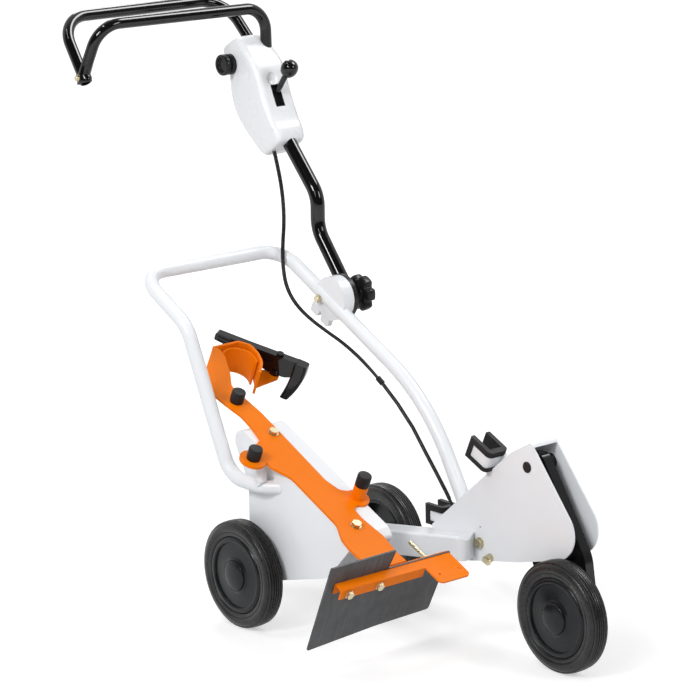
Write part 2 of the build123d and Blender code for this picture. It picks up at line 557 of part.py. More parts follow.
def star_knob():
    """Moulded six-lobed knob with deep flutes, on the stud."""
    near = COLUMN_Y + COLUMN_R + 0.3
    face = Circle(KNOB_R)
    face -= [Rot(0, 0, 60 * k + 30) * Pos(KNOB_R + 2, 0) * Circle(8) for k in range(6)]
    face = fillet(face.vertices(), 2.5)
    knob = side_slab(Pos(HINGE_X, HINGE_Z) * face, near + 4, near + 26)
    knob += cross_rod(15, HINGE_X, HINGE_Z, near, near + 6)
    return knob - cross_rod(STUD_R + RUNNING, HINGE_X, HINGE_Z, near - 1, stud_end + 0.5)


parts["star_knob"] = star_knob()

# ---------------------------------------------------------------- handlebar
BAR_Y = 203.0
BAR_A_PATH = [(-405, BAR_Y, 985), (-495, BAR_Y, 1069), (-495, -182, 1069), (-408, -190, 958)]
BAR_B_PATH = [(-366, BAR_Y, 962), (-368, BAR_Y, 1064), (-378, -175, 1066), (-417, -189, 969)]
parts["handlebar_rear"] = swept(BAR_A_PATH, [60, 60], BAR_R, BAR_R - GRIP_WALL)
parts["handlebar_front"] = (swept(BAR_B_PATH, [45, 50], BAR_R, BAR_R - GRIP_WALL)
                            - swept(BAR_A_PATH, [60, 60], BAR_R))
parts["handlebar_bolt"] = Pos(-416, -189.4 - BAR_R + 1, 967.5) * Rot(90, 0, 0) * hex_bolt(10, 4, 3, 3, nut=False)
parts["handlebar_rear"] -= parts["handlebar_bolt"]
parts["handlebar_front"] -= parts["handlebar_bolt"]

spine = [(-281, 830), (-299, 806), (-388, 930), (-425, 985), (-405, 1000), (-356, 985), (-345, 950), (-318, 890)]
SPINE_LEFT_Y = BAR_Y - BAR_R + 2
SPINE_T = 6.0
parts["handle_spine"] = side_slab(outline(spine, [0, 0, 20, 6, 6, 6, 10, 20]), SPINE_LEFT_Y - SPINE_T, SPINE_LEFT_Y)
parts["handle_spine"] -= swept(COLUMN_PATH, COLUMN_BENDS, COLUMN_R)
parts["handle_spine"] -= swept(BAR_A_PATH, [60, 60], BAR_R)
parts["handle_spine"] -= swept(BAR_B_PATH, [45, 50], BAR_R)

# ---------------------------------------------------------------- console
CONSOLE_OUTLINE = [(-411, 935), (-409, 895), (-400, 865), (-328, 792), (-300, 785), (-262, 824), (-284, 860),
                   (-312, 920), (-318, 950), (-372, 1006), (-400, 1014), (-436, 998), (-442, 980),
                   (-418, 962)]
CONSOLE_RADII = [10, 30, 30, 12, 12, 10, 60, 40, 16, 20, 20, 10, 6, 16]
LEVER_PIVOT_X = -331.0
LEVER_PIVOT_Z = 881.0
BALL = (-269.0, 957.0)
BALL_R = 14.0
LEVER_SWING = (-5.0, 30.0)
SLOT_W = 16.0
KNOB_X = -400.0
KNOB_Z = 958.0
CABLE_Y = 158.0
CABLE_GAP = 2.4


def console_shells():
    """Moulded cover in two halves that meet on the middle plane, with ways for tubes, lever, knob and cables."""
    face = outline(CONSOLE_OUTLINE, CONSOLE_RADII)
    whole = side_slab(face, CONSOLE_RIGHT_Y, CONSOLE_LEFT_Y)
    ends = whole.edges().filter_by(lambda e: min(abs(e.center().Y - CONSOLE_RIGHT_Y),
                                                 abs(e.center().Y - CONSOLE_LEFT_Y)) < 0.01)
    whole = fillet(ends, 8)
    inner = offset(face, amount=-CONSOLE_WALL)
    whole -= side_slab(inner, CONSOLE_RIGHT_Y + CONSOLE_WALL, CONSOLE_LEFT_Y - CONSOLE_WALL)
    whole -= swept(COLUMN_PATH, COLUMN_BENDS, COLUMN_R + 0.3)
    whole -= swept(BAR_A_PATH, [60, 60], BAR_R + 0.3)
    whole -= swept(BAR_B_PATH, [45, 50], BAR_R + 0.3)
    rest = math.degrees(math.atan2(BALL[1] - LEVER_PIVOT_Z, BALL[0] - LEVER_PIVOT_X))
    sector = [(LEVER_PIVOT_X, LEVER_PIVOT_Z)]
    for angle in (rest - LEVER_SWING[1] - 9, rest, rest - LEVER_SWING[0] + 9):
        way = math.radians(angle)
        sector.append((LEVER_PIVOT_X + 80 * math.cos(way), LEVER_PIVOT_Z + 80 * math.sin(way)))
    whole -= side_slab(make_face(Polyline(*sector, close=True)), COLUMN_Y - SLOT_W / 2, COLUMN_Y + SLOT_W / 2)
    whole -= cross_rod(5 + RUNNING, KNOB_X, KNOB_Z, CONSOLE_RIGHT_Y - 1, CONSOLE_RIGHT_Y + 5)
    whole -= Pos(-292, CABLE_Y, 785) * Box(14, 14, 30)
    cut = Plane(origin=(0, COLUMN_Y, 0), z_dir=(0, 1, 0))
    return split(whole, bisect_by=cut, keep=Keep.BOTTOM), split(whole, bisect_by=cut, keep=Keep.TOP)


parts["console_right_shell"], parts["console_left_shell"] = console_shells()


def throttle_lever():
    """Round lever with a ball knob and a flat foot that turns on a pin inside the console."""
    foot = Vector(LEVER_PIVOT_X, COLUMN_Y, LEVER_PIVOT_Z)
    way = Vector(BALL[0] - LEVER_PIVOT_X, 0, BALL[1] - LEVER_PIVOT_Z).normalized()
    lever = extrude(Plane(origin=foot + way * 6, z_dir=way) * Circle(4), amount=86)
    lever += cross_rod(8, LEVER_PIVOT_X, LEVER_PIVOT_Z, COLUMN_Y - 4, COLUMN_Y + 4)
    lever += Pos(BALL[0], COLUMN_Y, BALL[1]) * Sphere(BALL_R)
    return lever - cross_rod(3 + RUNNING, LEVER_PIVOT_X, LEVER_PIVOT_Z, COLUMN_Y - 5, COLUMN_Y + 5)


parts["throttle_lever"] = throttle_lever()
parts["throttle_pin"] = cross_rod(3, LEVER_PIVOT_X, LEVER_PIVOT_Z, COLUMN_Y - 8, SPINE_LEFT_Y - SPINE_T)


def side_knob():
    """Spool-shaped knob with a shaft into the console."""
    points = [(0, 0), (20, 0), (20, 8), (15.5, 10), (15.5, 12.5), (20.5, 14), (20.5, 22), (17, 23.5), (0, 23.5)]
    spool = revolve(outline(points, [0, 1, 1, 1, 1, 1, 1, 1, 0]), Axis.Y)
    shaft = Pos(0, -9, 0) * Rot(90, 0, 0) * Cylinder(5, 18)
    return Pos(KNOB_X, CONSOLE_RIGHT_Y - 0.3, KNOB_Z) * Rot(180, 0, 0) * (spool + shaft)


parts["side_knob"] = side_knob()

# ---------------------------------------------------------------- control cables
CABLE_ROUTE = [(-293, 158, 800), (-277, 156, 762), (-262, 152, 716), (-246, 141, 672), (-230, 123, 630),
               (-214, 110, 592), (-200, 106, 558), (-178, 108, 530), (-140, 110, 508), (-92, 110, 492),
               (-40, 110, 477), (12, 110, 455), (62, 112, 424), (104, 118, 386), (142, 121, 348), (176, 119, 312),
               (208, 119, 276), (234, 120, 244), (250, 120.3, 222)]


def bend_radii(route):
    """Each arc as large as its two runs allow."""
    radii = []
    for before, here, after in zip(route, route[1:], route[2:]):
        first = Vector(*here) - Vector(*before)
        second = Vector(*after) - Vector(*here)
        turn = math.radians(first.get_angle(second))
        radii.append(0.45 * min(first.length, second.length) / math.tan(turn / 2))
    return radii


cable_bends = bend_radii(CABLE_ROUTE)
print("cable bends, mm:", [round(r) for r in cable_bends])
for name, shift in (("lowering_cable", -CABLE_GAP), ("throttle_cable", CABLE_GAP)):
    route = [(x, y + shift, z) for x, y, z in CABLE_ROUTE]
    parts[name] = swept(route, cable_bends, CABLE_R)

FERRULE = Vector(250, 120.3, 222)
ferrule_way = (Vector(*CABLE_ROUTE[-1]) - Vector(*CABLE_ROUTE[-2])).normalized()
ferrule_plane = Plane(origin=FERRULE + ferrule_way * 0.1, z_dir=ferrule_way)
ferrule = extrude(ferrule_plane * SlotOverall(11, 7), amount=14)
parts["cable_ferrule"] = ferrule
parts["front_housing"] -= ferrule

# ---------------------------------------------------------------- saddles
SADDLE_WALL = 3.0
EDGE_T = 3.0
EDGE_W = 8.0


def saddle(name, plane, rear, length, near, width, low, height, foot):
    """U-shaped bracket open to the rear and top, its edges and inside lined with rubber, on a welded foot."""
    base = plane.offset(low)
    far = near + width
    front = rear + length
    block = outline([(rear, near), (front, near), (front, far), (rear, far)], [0, 7, 7, 0])
    cavity = outline([(rear - 5, near + SADDLE_WALL), (front - SADDLE_WALL, near + SADDLE_WALL),
                      (front - SADDLE_WALL, far - SADDLE_WALL), (rear - 5, far - SADDLE_WALL)], [0, 4, 4, 0])
    steel = extrude(base * (block - cavity), amount=height)
    fat = outline([(rear - EDGE_T, near - EDGE_T), (front + EDGE_T, near - EDGE_T), (front + EDGE_T, far + EDGE_T),
                   (rear - EDGE_T, far + EDGE_T)], [2, 10, 10, 2])
    slot = Pos(rear + (length - SADDLE_WALL) / 2 - EDGE_T - 5, near + width / 2)
    slot = slot * Rectangle(length - SADDLE_WALL + 4, width - 2 * SADDLE_WALL - 2 * EDGE_T)
    rubber = extrude(base.offset(-EDGE_T) * (fat - slot), amount=height + 2 * EDGE_T)
    window = Pos(rear + EDGE_W + length, near + width / 2) * Rectangle(2 * length, width + 4 * EDGE_T)
    window = extrude(base.offset(EDGE_W / 2) * (window - cavity), amount=height - 1.5 * EDGE_W)
    foot = side_slab(make_face(Polyline(*foot, close=True)), far - 2 * SADDLE_WALL, far)
    inner = extrude(base.offset(-EDGE_T - 1) * cavity, amount=height + 20)
    steel = steel + (foot - inner) - housing_envelope
    parts[name] = steel
    parts[name + "_edging"] = rubber - window - steel - foot - housing_envelope


saddle("saddle_upper", INCLINE, 294, 50, 95, 39, 123, 36, [(330, 292), (384, 338), (374, 350), (338, 322)])
saddle("saddle_lower", Plane.XY, 185, 43, 116, 34, 180, 32, [(190, 176), (228, 190), (228, 206), (190, 186)])

# ---------------------------------------------------------------- housing bolts
parts["housing_bolts"] = Compound([
    Pos(333, HOUSING_RIGHT_Y, 174) * Rot(90, 0, 0) * hex_bolt(16, 6, 5, 12),
    Pos(360, HOUSING_RIGHT_Y, 152) * Rot(90, 0, 0) * hex_bolt(13, 5, 4, 12)])
parts["front_housing"] -= cross_rod(5, 333, 174, HOUSING_RIGHT_Y - 1, HOUSING_RIGHT_Y + SHEET + 1)
parts["front_housing"] -= cross_rod(4, 360, 152, HOUSING_RIGHT_Y - 1, HOUSING_RIGHT_Y + SHEET + 1)

# ---------------------------------------------------------------- place the origin and write the files
boxes = [shape.bounding_box() for shape in parts.values()]
low = Vector(min(b.min.X for b in boxes), min(b.min.Y for b in boxes), min(b.min.Z for b in boxes))
high = Vector(max(b.max.X for b in boxes), max(b.max.Y for b in boxes), max(b.max.Z for b in boxes))
SHIFT = Vector(-(low.X + high.X) / 2, -(low.Y + high.Y) / 2, -low.Z)
print("shift", SHIFT, "size", high - low)

os.makedirs("parts", exist_ok=True)
for name, shape in parts.items():
    export_step(Location(SHIFT) * shape, f"parts/{name}.step")
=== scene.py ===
import bpy, bmesh, math
from mathutils import Matrix, Vector


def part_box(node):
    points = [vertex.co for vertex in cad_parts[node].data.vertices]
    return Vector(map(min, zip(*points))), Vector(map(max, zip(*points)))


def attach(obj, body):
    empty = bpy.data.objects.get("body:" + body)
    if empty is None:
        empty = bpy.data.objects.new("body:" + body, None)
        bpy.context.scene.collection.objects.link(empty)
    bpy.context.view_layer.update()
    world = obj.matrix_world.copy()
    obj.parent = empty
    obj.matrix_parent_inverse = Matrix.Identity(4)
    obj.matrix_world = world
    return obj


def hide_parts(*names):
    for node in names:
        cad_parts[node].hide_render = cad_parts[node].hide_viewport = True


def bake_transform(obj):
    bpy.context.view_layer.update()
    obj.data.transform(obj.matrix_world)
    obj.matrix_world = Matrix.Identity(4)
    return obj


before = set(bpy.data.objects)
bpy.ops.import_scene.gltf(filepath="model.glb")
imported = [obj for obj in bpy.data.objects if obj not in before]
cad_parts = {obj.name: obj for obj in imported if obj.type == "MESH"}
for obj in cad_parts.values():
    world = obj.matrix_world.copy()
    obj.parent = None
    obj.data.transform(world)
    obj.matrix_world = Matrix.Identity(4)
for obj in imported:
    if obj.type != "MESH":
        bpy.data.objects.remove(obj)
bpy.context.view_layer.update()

# ---- Camera and studio
# The cart stands on a plain white floor under soft panels. The camera looks down a little on
# its right front, from about five metres, so that the long tubes hardly narrow with distance.
axle_low, axle_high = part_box("rear_axle")
AXLE_MIDDLE = Vector(((axle_low[0] + axle_high[0]) / 2, (axle_low[1] + axle_high[1]) / 2, 0))


def at(x, y, z):
    """Millimetres forward, left and up from the floor under the middle of the rear axle."""
    return AXLE_MIDDLE + Vector((x, y, z)) / 1000


CAMERA_PLACE = (4141.5, -3331.5, 1789.1)
turn, rise, roll = math.radians(50.41), math.radians(13.76), math.radians(-1.11)
back = Vector((math.sin(turn) * math.cos(rise), -math.cos(turn) * math.cos(rise), math.sin(rise)))
right = Vector((math.cos(turn), math.sin(turn), 0))
up = back.cross(right)
camera = bpy.data.objects.new("camera", bpy.data.cameras.new("camera"))
camera.data.lens, camera.data.sensor_width = 154.45, 36
camera.data.clip_end = 50
across = right * math.cos(roll) + up * math.sin(roll)
upward = up * math.cos(roll) - right * math.sin(roll)
aim = Matrix((across, upward, back)).transposed().to_4x4()
camera.matrix_world = Matrix.Translation(at(*CAMERA_PLACE)) @ aim
bpy.context.collection.objects.link(camera)
bpy.context.scene.camera = camera
bpy.context.scene.view_settings.view_transform = "Standard"


def shader(name):
    """A node material with its tree, its surface shader and a position in metres."""
    material = bpy.data.materials.new(name)
    material.use_nodes = True
    tree = material.node_tree
    where = tree.nodes.new("ShaderNodeTexCoord").outputs["Object"]
    return material, tree, tree.nodes["Principled BSDF"], where


def set_range(node, from_low, from_high, to_low, to_high):
    """Limits of a map range node."""
    limits = {"From Min": from_low, "From Max": from_high, "To Min": to_low, "To Max": to_high}
    for socket, value in limits.items():
        node.inputs[socket].default_value = value


def seen_directly(tree):
    """1 for what the camera, a mirror or a pane sees, 0 for the light that falls on things."""
    rays = tree.nodes.new("ShaderNodeLightPath")
    total = rays.outputs["Is Camera Ray"]
    for name in ("Is Glossy Ray", "Is Transmission Ray"):
        add = tree.nodes.new("ShaderNodeMath")
        add.operation, add.use_clamp = "ADD", True
        tree.links.new(total, add.inputs[0])
        tree.links.new(rays.outputs[name], add.inputs[1])
        total = add.outputs[0]
    return total


REACH = 12
floor_mesh = bpy.data.meshes.new("floor")
corners = [(-REACH, -REACH, 0), (REACH, -REACH, 0), (REACH, REACH, 0), (-REACH, REACH, 0)]
floor_mesh.from_pydata(corners, [], [(0, 1, 2, 3)])
floor = bpy.data.objects.new("floor", floor_mesh)
bpy.context.collection.objects.link(floor)
paint, tree, surface, where = shader("studio_floor")
surface.inputs["Base Color"].default_value = (0.62, 0.62, 0.62, 1)
surface.inputs["Roughness"].default_value = 0.9
surface.inputs["Emission Color"].default_value = (1, 1, 1, 1)
distance = tree.nodes.new("ShaderNodeVectorMath")
distance.operation = "LENGTH"
tree.links.new(where, distance.inputs[0])
outward = tree.nodes.new("ShaderNodeMapRange")
outward.interpolation_type = "SMOOTHSTEP"
set_range(outward, 0.9, 2.6, 0.50, 0.85)
tree.links.new(distance.outputs["Value"], outward.inputs["Value"])
lift = tree.nodes.new("ShaderNodeMath")
lift.operation = "MULTIPLY"
tree.links.new(outward.outputs[0], lift.inputs[1])
tree.links.new(seen_directly(tree), lift.inputs[0])
tree.links.new(lift.outputs[0], surface.inputs["Emission Strength"])
floor_mesh.materials.append(paint)

world = bpy.data.worlds.new("studio")
world.use_nodes = True
bpy.context.scene.world = world
tree = world.node_tree
sky = tree.nodes["Background"]
sky.inputs["Color"].default_value = (1, 1, 1, 1)
# Gloss sees a dark room in front of the machine's right side, and white at the sides and above.
toward_room = tree.nodes.new("ShaderNodeVectorMath")
toward_room.operation = "DOT_PRODUCT"
toward_room.inputs[1].default_value = (0.76, -0.63, 0.16)
tree.links.new(tree.nodes.new("ShaderNodeTexCoord").outputs["Generated"], toward_room.inputs[0])
room = tree.nodes.new("ShaderNodeMapRange")
room.interpolation_type = "SMOOTHSTEP"
set_range(room, -0.15, 0.35, 1.0, 0.06)
tree.links.new(toward_room.outputs["Value"], room.inputs["Value"])
# The camera sees plain white on every side.
clear = tree.nodes.new("ShaderNodeMath")
clear.operation = "MAXIMUM"
tree.links.new(room.outputs[0], clear.inputs[0])
tree.links.new(tree.nodes.new("ShaderNodeLightPath").outputs["Is Camera Ray"], clear.inputs[1])
level = tree.nodes.new("ShaderNodeMapRange")
level.inputs["To Min"].default_value = 0.40
tree.links.new(clear.outputs[0], level.inputs["To Max"])
tree.links.new(seen_directly(tree), level.inputs["Value"])
tree.links.new(level.outputs[0], sky.inputs["Strength"])


def panel(name, place, target, size, power, height=0.0):
    """Round soft light, or a long narrow one of the given height."""
    light = bpy.data.lights.new(name, "AREA")
    light.shape, light.size, light.energy = "RECTANGLE" if height else "DISK", size, power
    light.size_y = height or size
    lamp = bpy.data.objects.new(name, light)
    lamp.location = place
    lamp.rotation_euler = (Vector(target) - Vector(place)).to_track_quat("-Z", "Y").to_euler()
    bpy.context.collection.objects.link(lamp)
    return lamp


# A card over the left side is seen only as a line of light along glossy tubes.
card = panel("left_card", (0.47, 2.02, 3.67), (-0.45, 0.0, 0.95), 1.2, 90, 1.5)
card.visible_diffuse, card.data.diffuse_factor = False, 0.0
panel("key_panel", (1.0, -3.4, 3.0), (0, 0, 0.4), 1.1, 86)
panel("side_panel", (3.6, 1.2, 2.6), (0, 0, 0.5), 1.4, 46)
panel("rear_panel", (-3.0, 1.6, 3.2), (0, 0, 0.5), 1.4, 42)
panel("edge_strip", (2.2, -3.2, 2.6), (0, 0, 0.6), 0.14, 20, 1.5)
panel("top_strip", (-0.6, -1.4, 4.0), (-0.2, 0, 0.8), 1.6, 20, 0.14)

# ---- Control cables
# Two thin black sleeved cables leave the console together, hang in front of the loop
# and enter the housing by one metal ferrule. Each is a steel strand in a plastic
# sleeve.
CABLE_ROUTE = [(-293, 158, 800), (-277, 156, 762), (-262, 152, 716), (-246, 141, 672),
               (-230, 123, 630), (-214, 110, 592), (-200, 106, 558), (-178, 108, 530),
               (-140, 110, 508), (-92, 110, 492), (-40, 110, 477), (12, 110, 455), (62, 112, 424),
               (104, 118, 386), (142, 121, 348), (176, 119, 312), (208, 119, 276), (234, 120, 244),
               (250, 120.3, 222)]
CABLE_R = 2.1
CABLE_STEP = 2.1
TIE_INDEX = 12
SHARE_BELOW_TIE = 0.4


def noise_at(tree, where, scale, detail=3.0, rough=0.55):
    """Fractal noise at a scale per metre."""
    node = tree.nodes.new("ShaderNodeTexNoise")
    node.inputs["Scale"].default_value = scale
    node.inputs["Detail"].default_value = detail
    node.inputs["Roughness"].default_value = rough
    tree.links.new(where, node.inputs["Vector"])
    return node.outputs["Fac"]


def spread(tree, value, low, high):
    """A 0.3 to 0.7 noise value brought to the range low to high."""
    node = tree.nodes.new("ShaderNodeMapRange")
    set_range(node, 0.3, 0.7, low, high)
    tree.links.new(value, node.inputs["Value"])
    return node.outputs[0]


def blend_colour(tree, value, first, second):
    """Colour between two tones by a 0 to 1 value."""
    node = tree.nodes.new("ShaderNodeMix")
    node.data_type = "RGBA"
    node.inputs[6].default_value, node.inputs[7].default_value = (*first, 1), (*second, 1)
    tree.links.new(value, node.inputs[0])
    return node.outputs[2]


def relief(tree, surface, height, depth):
    """Bump of a depth in metres on a surface."""
    node = tree.nodes.new("ShaderNodeBump")
    node.inputs["Distance"].default_value = depth
    tree.links.new(height, node.inputs["Height"])
    tree.links.new(node.outputs[0], surface.inputs["Normal"])


def finish_of(name, light_tone, dark_tone, rough, grain, depth, patch=9.0, metal=0.0, coat=0.0,
              shine=0.5):
    """Material with broad patches of tone, a varied gloss and a fine raised grain."""
    material, tree, surface, where = shader(name)
    broad = noise_at(tree, where, patch)
    tone = blend_colour(tree, spread(tree, broad, 0, 1), dark_tone, light_tone)
    tree.links.new(tone, surface.inputs["Base Color"])
    gloss = spread(tree, noise_at(tree, where, patch * 5), rough[0], rough[1])
    tree.links.new(gloss, surface.inputs["Roughness"])
    relief(tree, surface, noise_at(tree, where, grain, 2.0), depth)
    surface.inputs["Metallic"].default_value = metal
    surface.inputs["Specular IOR Level"].default_value = shine
    surface.inputs["Coat Weight"].default_value = coat
    surface.inputs["Coat Roughness"].default_value = 0.15
    return material


cable_sleeve = finish_of("cable_sleeve", (0.016, 0.016, 0.017), (0.010, 0.010, 0.011),
                         rough=(0.22, 0.34), grain=900, depth=0.00006, shine=0.2)


def carried(name, mesh, body, material, stands_for=()):
    """Object made from a mesh, riding on a body, with its finish and the nodes it stands for."""
    piece = bpy.data.objects.new(name, mesh)
    bpy.context.collection.objects.link(piece)
    mesh.materials.append(material)
    if body:
        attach(piece, body)
    if stands_for:
        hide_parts(*stands_for)
    return piece


def skin_faces(count, sides):
    """Quads between a count of rings of equal sides."""
    return [(i * sides + k, i * sides + (k + 1) % sides,
             (i + 1) * sides + (k + 1) % sides, (i + 1) * sides + k)
            for i in range(count - 1) for k in range(sides)]


def end_faces(count, sides):
    """Flat faces over the first ring and the last."""
    return [tuple(reversed(range(sides))), tuple(range((count - 1) * sides, count * sides))]


def tube_mesh(name, line, radius, sides=32, wall=0.0, closed_ends=True):
    """Round tube along a line of points, without twist; a wall leaves it open at the ends."""
    line = [Vector(p) for p in line]
    last = len(line) - 1
    ways = [(line[min(i + 1, last)] - line[max(i - 1, 0)]).normalized() for i in range(len(line))]
    normal = ways[0].orthogonal().normalized()
    frames = []
    for way in ways:
        normal = (normal - way * normal.dot(way)).normalized()
        frames.append((normal, way.cross(normal)))

    def ring_points(index, r):
        a, b = frames[index]
        return [line[index] + (a * math.cos(t) + b * math.sin(t)) * r
                for t in (2 * math.pi * k / sides for k in range(sides))]

    rings = [ring_points(i, radius) for i in range(len(line))]
    if wall:
        inside = [ring_points(i, radius - wall) for i in range(len(line))]
        rings = [inside[2], inside[0], *rings, inside[-1], inside[-3]]
    verts = [p for ring in rings for p in ring]
    faces = skin_faces(len(rings), sides)
    if closed_ends:
        faces += end_faces(len(rings), sides)
    mesh = bpy.data.meshes.new(name)
    mesh.from_pydata([tuple(v) for v in verts], [], faces)
    mesh.shade_smooth()
    mesh.set_sharp_from_angle(angle=math.radians(40))
    return mesh


for cable_name, side_step in (("lowering_cable", -CABLE_STEP), ("throttle_cable", CABLE_STEP)):
    route = bpy.data.curves.new(cable_name + "_route", "CURVE")
    route.dimensions, route.resolution_u = "3D", 10
    line = route.splines.new("NURBS")
    line.points.add(len(CABLE_ROUTE) - 1)
    for index, (point, (x, y, z)) in enumerate(zip(line.points, CABLE_ROUTE)):
        share = 1 if index < TIE_INDEX else SHARE_BELOW_TIE
        point.co = (*at(x, y + side_step * share, z), 1)
    line.order_u, line.use_endpoint_u = 3, True
    holder = bpy.data.objects.new(cable_name + "_route", route)
    drawn = bpy.data.meshes.new_from_object(holder)
    centre = [v.co.copy() for v in drawn.vertices]
    bpy.data.objects.remove(holder)
    cable = carried(cable_name + "_sleeve", tube_mesh(cable_name, centre, CABLE_R / 1000, 12), None,
                    cable_sleeve, [cable_name])
    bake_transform(cable)

# ---- Wheels
# Solid rubber tyres with fine rings round the tread sit on black moulded rims. A domed cap
# snaps over each axle end. The two rear wheels run on one axle and the front wheel on a stub.
WHEEL_R = 100.0
TYRE_HALF = 20.0
CROWN_DROP = 3.2
CROWN_POWER = 2.6
HALF_TRACK = 168.5
FRONT_WHEEL = (568, 88)


def clean_normals(mesh, merge=0.0):
    """Outward faces, with points closer than the merge distance joined."""
    work = bmesh.new()
    work.from_mesh(mesh)
    if merge:
        bmesh.ops.remove_doubles(work, verts=work.verts, dist=merge)
    bmesh.ops.recalc_face_normals(work, faces=work.faces)
    work.to_mesh(mesh)
    work.free()


def turned(name, profile, place, facing, steps=128, closed=True):
    """Mesh turned about a lateral axis from (radius, distance inboard); facing -1 is the right."""
    verts, faces, count = [], [], len(profile)
    for k in range(steps):
        angle = 2 * math.pi * k / steps
        for r, y in profile:
            step = Vector((r * math.cos(angle), -facing * y, r * math.sin(angle)))
            verts.append(place + step / 1000)
    runs = count if closed else count - 1
    for k in range(steps):
        after = (k + 1) % steps
        for i in range(runs):
            j = (i + 1) % count
            face = (k * count + i, after * count + i, after * count + j, k * count + j)
            faces.append(face if facing < 0 else tuple(reversed(face)))
    mesh = bpy.data.meshes.new(name)
    mesh.from_pydata([tuple(v) for v in verts], [], faces)
    clean_normals(mesh, merge=0.000004)
    mesh.shade_smooth()
    mesh.set_sharp_from_angle(angle=math.radians(38))
    return mesh


def tread_height(y):
    """Radius of the tread at a distance from the tyre's middle."""
    return WHEEL_R - CROWN_DROP * (abs(y) / TYRE_HALF) ** CROWN_POWER


tyre_profile = [(71, -15.5), (72.5, -17.6), (75.5, -18.8), (79, -18.9), (80, -18.0), (81, -18.9),
                (85, -19.7), (89, -19.6), (92.2, -18.3), (94.6, -16.6), (95.2, -15.9),
                (94.2, -15.2)]
for groove in (-12.4, -7.6, -2.8, 2.0, 6.8, 11.2):
    crown = tread_height(groove)
    tyre_profile += [(tread_height(groove - 2.4) - 0.2, groove - 2.2), (crown + 0.05, groove - 0.6),
                     (crown - 0.35, groove + 0.1), (crown - 2.3, groove + 0.7),
                     (crown - 2.3, groove + 1.3), (crown - 0.35, groove + 1.9)]
tyre_profile += [(95.6, 14.6), (94.6, 16.6), (92.2, 18.3), (89, 19.6), (85, 19.7), (79, 18.9),
                 (75.5, 18.8), (72.5, 17.6), (71, 15.5)]
rim_profile = [(8.05, -18.6), (27, -18.6), (28.4, -19.4), (30.2, -19.2), (32, -17.6), (36, -16.4),
               (57, -15.8), (60.6, -15.6), (61.2, -18.6), (62.0, -19.4), (63.4, -19.6),
               (67.6, -19.2), (69.8, -18.0), (70.9, -16.6), (70.9, 16), (66, 16), (65, -9.5),
               (58, -8.5), (20, -11), (18, 20.8), (8.05, 20.8)]
cap_profile = [(0.01, -26.9), (7, -26.7), (14, -26.0), (20, -24.9), (25, -23.5), (27.2, -22.6),
               (28, -21.4), (28, -19.0)]

tyre_rubber, tree, surface, where = shader("tyre_rubber")
dusty = spread(tree, noise_at(tree, where, 26, 6.0, 0.65), 0, 1)
dust = blend_colour(tree, dusty, (0.008, 0.008, 0.009), (0.026, 0.0255, 0.025))
tree.links.new(dust, surface.inputs["Base Color"])
tree.links.new(spread(tree, noise_at(tree, where, 160), 0.24, 0.40), surface.inputs["Roughness"])
relief(tree, surface, noise_at(tree, where, 1400, 3.0), 0.00012)
surface.inputs["Specular IOR Level"].default_value = 0.33
rim_plastic = finish_of("rim_plastic", (0.0105, 0.012, 0.0138), (0.007, 0.0082, 0.0095),
                        rough=(0.18, 0.28), grain=2200, depth=0.00005, shine=0.24)

WHEEL_PARTS = (("tyre", tyre_profile, tyre_rubber, 160), ("rim", rim_profile, rim_plastic, 128),
               ("hub_cap", cap_profile, rim_plastic, 96))
for wheel, facing, place in (("rear_right", -1, at(0, -HALF_TRACK, WHEEL_R)),
                             ("rear_left", 1, at(0, HALF_TRACK, WHEEL_R)),
                             ("front", -1, at(*FRONT_WHEEL, WHEEL_R))):
    for part, profile, finish, steps in WHEEL_PARTS:
        mesh = turned(f"{wheel}_{part}_turned", profile, place, facing, steps, part != "hub_cap")
        piece = carried(f"{wheel}_{part}_turned", mesh, wheel + "_wheel", finish,
                        [f"{wheel}_{part}"])

# ---- White steel frame
# The rear body, beam, axle tubes and front housing are folded and welded sheet and
# tube, all powder coated white after welding. Each keeps its pressed edges.
white_coat = finish_of("white_powder_coat", (0.82, 0.838, 0.862), (0.785, 0.806, 0.835),
                       rough=(0.3, 0.42), grain=420, depth=0.00005, patch=5.0, coat=0.15)


def dressed(node, material, edge=0.0, smooth=32):
    """Finish on a CAD piece, with soft shading and a small rounded edge."""
    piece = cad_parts[node]
    piece.data.materials.clear()
    piece.data.materials.append(material)
    piece.data.shade_smooth()
    piece.data.set_sharp_from_angle(angle=math.radians(smooth))
    if edge:
        round_over = piece.modifiers.new("edge", "BEVEL")
        round_over.width, round_over.segments, round_over.limit_method = edge / 1000, 2, "ANGLE"
        round_over.angle_limit, round_over.harden_normals = math.radians(40), True
        round_over.use_clamp_overlap = True
    return piece


for node in ("rear_body", "axle_tubes", "beam", "front_housing", "lobe_post", "hinge_socket",
             "saddle_upper", "saddle_lower"):
    dressed(node, white_coat, 0.6)

# ---- Loop tube
# One length of steel tube, bent in a mandrel bender, runs from the body's right
# flange up round the back and down to the housing. Its ends are welded.
LOOP_R = 13.5


def bent_line(points, radii, step=4.0):
    """Straight runs joined by tangent arcs, as close points in metres."""
    corners = [Vector(p) for p in points]
    line = [at(*corners[0])]
    for before, here, after, r in zip(corners, corners[1:], corners[2:], radii):
        way_in, way_out = (here - before).normalized(), (after - here).normalized()
        bend = way_in.angle(way_out)
        reach = r * math.tan(bend / 2)
        centre = here + (way_out - way_in).normalized() * (r / math.cos(bend / 2))
        start = here - way_in * reach
        axis = way_in.cross(way_out).normalized()
        count = max(4, int(math.degrees(bend) / step) + 1)
        for k in range(count + 1):
            arm = Matrix.Rotation(bend * k / count, 3, axis) @ (start - centre)
            line.append(at(*(centre + arm)))
    line.append(at(*corners[-1]))
    return line


